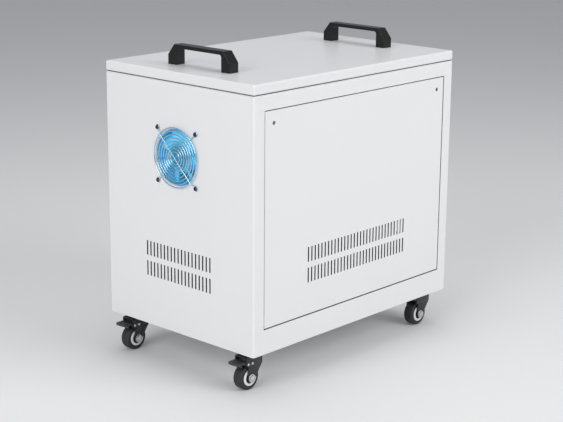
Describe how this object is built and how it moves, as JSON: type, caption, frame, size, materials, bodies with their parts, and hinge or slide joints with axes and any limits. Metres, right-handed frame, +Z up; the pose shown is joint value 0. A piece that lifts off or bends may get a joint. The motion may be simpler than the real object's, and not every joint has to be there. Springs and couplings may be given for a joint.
{
  "type": "wheeled power transformer cabinet",
  "caption": "White sheet-metal power transformer cabinet on swivel castors, with a lidded top, bridge handles, a guarded fan in one end and slotted screwed covers.",
  "frame": {"origin": "on the floor, under the middle of the cabinet's plan", "axes": "+Z up; +X along the long side, away from the fan end; -Y towards the front cover"},
  "size_m": [0.615, 0.408, 0.639],
  "materials": {
    "body_coat": "white powder coat on folded steel sheet, satin",
    "lid_coat": "white powder coat on folded steel sheet, satin",
    "handle_plastic": "moulded black plastic, satin",
    "gasket_rubber": "black rubber strip, matt",
    "guard_chrome": "bright plated welded wire",
    "fan_frame": "dark blue moulded fan housing",
    "fan_rotor": "clear blue moulded rotor",
    "core_steel": "stacked sheet steel",
    "winding": "varnished wound coil",
    "clamp_paint": "dark painted steel clamps",
    "castor_steel": "black coated pressed steel",
    "bright_steel": "bright plated bolt",
    "wheel_centre": "white moulded wheel centre",
    "tyre": "black rubber tread",
    "pedal_plastic": "black moulded pedal"
  },
  "bodies": {
    "cabinet": {"base_tray": "body_coat", "fan_end_wall": "body_coat", "far_end_wall": "body_coat", "front_top_rail": "body_coat", "rear_top_rail": "body_coat", "front_bottom_rail": "body_coat", "rear_bottom_rail": "body_coat", "front_cover": "body_coat", "rear_cover": "body_coat", "lid": "lid_coat", "lid_gasket": "gasket_rubber", "handle_fan_end": "handle_plastic", "handle_far_end": "handle_plastic", "fan_frame": "fan_frame", "fan_guard": "guard_chrome", "core": "core_steel", "winding_fan_end": "winding", "winding_middle": "winding", "winding_far_end": "winding", "core_clamps_lower": "clamp_paint", "core_clamps_upper": "clamp_paint", "castor_fan_front_plate": "castor_steel", "castor_fan_rear_plate": "castor_steel", "castor_far_front_plate": "castor_steel", "castor_far_rear_plate": "castor_steel"},
    "fan_rotor": {"fan_rotor": "fan_rotor"},
    "castor_fan_front_swivel": {"castor_fan_front_fork": "castor_steel", "castor_fan_front_axle": "bright_steel"},
    "castor_fan_front_wheel": {"castor_fan_front_hub": "wheel_centre", "castor_fan_front_tyre": "tyre"},
    "castor_fan_front_brake": {"castor_fan_front_pedal": "pedal_plastic"},
    "castor_fan_rear_swivel": {"castor_fan_rear_fork": "castor_steel", "castor_fan_rear_axle": "bright_steel"},
    "castor_fan_rear_wheel": {"castor_fan_rear_hub": "wheel_centre", "castor_fan_rear_tyre": "tyre"},
    "castor_fan_rear_brake": {"castor_fan_rear_pedal": "pedal_plastic"},
    "castor_far_front_swivel": {"castor_far_front_fork": "castor_steel", "castor_far_front_axle": "bright_steel"},
    "castor_far_front_wheel": {"castor_far_front_hub": "wheel_centre", "castor_far_front_tyre": "tyre"},
    "castor_far_rear_swivel": {"castor_far_rear_fork": "castor_steel", "castor_far_rear_axle": "bright_steel"},
    "castor_far_rear_wheel": {"castor_far_rear_hub": "wheel_centre", "castor_far_rear_tyre": "tyre"}
  },
  "joints": [
    {"name": "fan_spin", "type": "hinge", "parent": "cabinet", "child": "fan_rotor", "pos_m": [-0.3, 0, 0.434], "axis": [-1, 0, 0], "continuous": true},
    {"name": "castor_fan_front_turn", "type": "hinge", "parent": "cabinet", "child": "castor_fan_front_swivel", "pos_m": [-0.264, -0.162, 0.0755], "axis": [0, 0, 1], "continuous": true},
    {"name": "castor_fan_front_roll", "type": "hinge", "parent": "castor_fan_front_swivel", "child": "castor_fan_front_wheel", "pos_m": [-0.277, -0.162, 0.025], "axis": [0, 1, 0], "continuous": true},
    {"name": "castor_fan_front_press", "type": "hinge", "parent": "castor_fan_front_swivel", "child": "castor_fan_front_brake", "pos_m": [-0.286, -0.162, 0.055], "axis": [0, -1, 0], "range_deg": [0, 18]},
    {"name": "castor_fan_rear_turn", "type": "hinge", "parent": "cabinet", "child": "castor_fan_rear_swivel", "pos_m": [-0.264, 0.162, 0.0755], "axis": [0, 0, 1], "continuous": true},
    {"name": "castor_fan_rear_roll", "type": "hinge", "parent": "castor_fan_rear_swivel", "child": "castor_fan_rear_wheel", "pos_m": [-0.277, 0.162, 0.025], "axis": [0, 1, 0], "continuous": true},
    {"name": "castor_fan_rear_press", "type": "hinge", "parent": "castor_fan_rear_swivel", "child": "castor_fan_rear_brake", "pos_m": [-0.286, 0.162, 0.055], "axis": [0, -1, 0], "range_deg": [0, 18]},
    {"name": "castor_far_front_turn", "type": "hinge", "parent": "cabinet", "child": "castor_far_front_swivel", "pos_m": [0.264, -0.162, 0.0755], "axis": [0, 0, 1], "continuous": true},
    {"name": "castor_far_front_roll", "type": "hinge", "parent": "castor_far_front_swivel", "child": "castor_far_front_wheel", "pos_m": [0.251, -0.162, 0.025], "axis": [0, 1, 0], "continuous": true},
    {"name": "castor_far_rear_turn", "type": "hinge", "parent": "cabinet", "child": "castor_far_rear_swivel", "pos_m": [0.264, 0.162, 0.0755], "axis": [0, 0, 1], "continuous": true},
    {"name": "castor_far_rear_roll", "type": "hinge", "parent": "castor_far_rear_swivel", "child": "castor_far_rear_wheel", "pos_m": [0.251, 0.162, 0.025], "axis": [0, 1, 0], "continuous": true}
  ]
}
